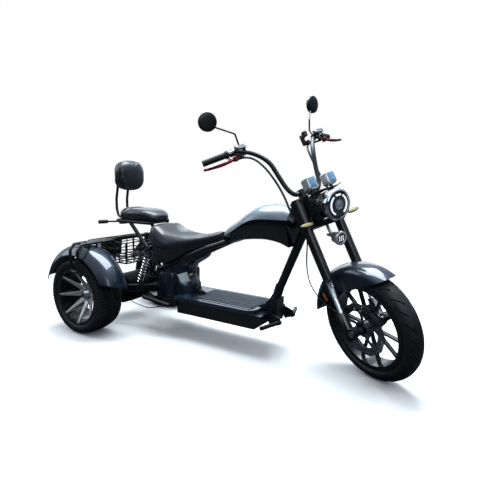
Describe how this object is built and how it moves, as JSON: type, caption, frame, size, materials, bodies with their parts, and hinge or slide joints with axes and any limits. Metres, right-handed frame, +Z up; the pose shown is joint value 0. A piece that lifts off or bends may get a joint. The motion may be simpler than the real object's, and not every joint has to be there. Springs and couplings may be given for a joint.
{
  "type": "motorized trike",
  "caption": "Electric chopper trike with one raked front wheel, two wide rear wheels, saddle, pillion seat with backrest, basket and fenders.",
  "frame": {"origin": "on the ground under the middle of the whole trike", "axes": "+X forward, +Y to the rider's left, +Z up; the steering stands turned to the right as in the picture"},
  "size_m": [2.349, 1.012, 1.5076],
  "materials": {
    "rubber_tyre": "moulded black rubber",
    "rim_black": "gloss black with bright edges",
    "frame_black": "satin black powder coat",
    "body_blue": "metallic dark blue",
    "body_blue_plastic": "metallic dark blue",
    "tank_silver": "metallic silver grey",
    "tank_black": "gloss black",
    "leather_black": "black grained",
    "plastic_black": "matt black",
    "floor_grey": "ribbed grey mat",
    "motor_alloy": "dark cast alloy",
    "chrome_trim": "polished",
    "bright_steel": "ground",
    "caliper_black": "black cast",
    "amber_lens": "clear amber",
    "red_lens": "clear red",
    "rubber_black": "black",
    "alloy_lever": "anodised"
  },
  "bodies": {
    "chassis": {"backrest_frame": "frame_black", "backrest_pad": "leather_black", "battery_box": "plastic_black", "body_shell": "body_blue_plastic", "drive_motor": "motor_alloy", "floorboard": "floor_grey", "frame_cradle": "frame_black", "front_foot_pegs": "rubber_black", "main_frame": "frame_black", "passenger_seat": "leather_black", "plate_bracket": "frame_black", "rack_basket": "frame_black", "rear_axle": "frame_black", "rear_brake_cable": "rubber_black", "rear_fenders": "body_blue", "rear_foot_pegs": "rubber_black", "rear_lamps": "red_lens", "rear_rack": "frame_black", "rear_shocks": "chrome_trim", "rider_seat": "leather_black", "seat_base": "plastic_black", "seat_struts": "frame_black", "swing_arm": "frame_black", "tank_lower": "tank_black", "tank_upper": "tank_silver"},
    "steering": {"steering_stem": "frame_black", "fork_uppers": "frame_black", "fork_lowers": "bright_steel", "handlebar": "frame_black", "grips": "rubber_black", "control_levers": "alloy_lever", "mirrors": "tank_black", "headlight": "chrome_trim", "lamp_bracket": "frame_black", "instruments": "chrome_trim", "spot_lamp": "chrome_trim", "front_signals": "amber_lens", "front_fender": "body_blue", "front_axle": "bright_steel", "front_caliper": "caliper_black", "brake_hose": "rubber_black", "bar_loom_right": "rubber_black", "bar_loom_left": "rubber_black"},
    "front_wheel": {"front_tyre": "rubber_tyre", "front_rim": "rim_black", "front_disc": "bright_steel"},
    "rear_wheel_left": {"rear_tyre_left": "rubber_tyre", "rear_rim_left": "rim_black"},
    "rear_wheel_right": {"rear_tyre_right": "rubber_tyre", "rear_rim_right": "rim_black"}
  },
  "joints": [
    {"name": "steer", "type": "hinge", "parent": "chassis", "child": "steering", "pos_m": [0.55755, 0, 0.82792], "axis": [-0.4399, 0, 0.898], "range_deg": [-10.8, 69.2]},
    {"name": "front_wheel_spin", "type": "hinge", "parent": "steering", "child": "front_wheel", "pos_m": [0.90486, -0.04147, 0.28762], "axis": [0.4381, 0.8729, 0.2146], "continuous": true},
    {"name": "rear_left_spin", "type": "hinge", "parent": "chassis", "child": "rear_wheel_left", "pos_m": [-0.85877, 0.373, 0.247], "axis": [0, 1, 0], "continuous": true},
    {"name": "rear_right_spin", "type": "hinge", "parent": "chassis", "child": "rear_wheel_right", "pos_m": [-0.85877, -0.373, 0.247], "axis": [0, 1, 0], "continuous": true}
  ]
}
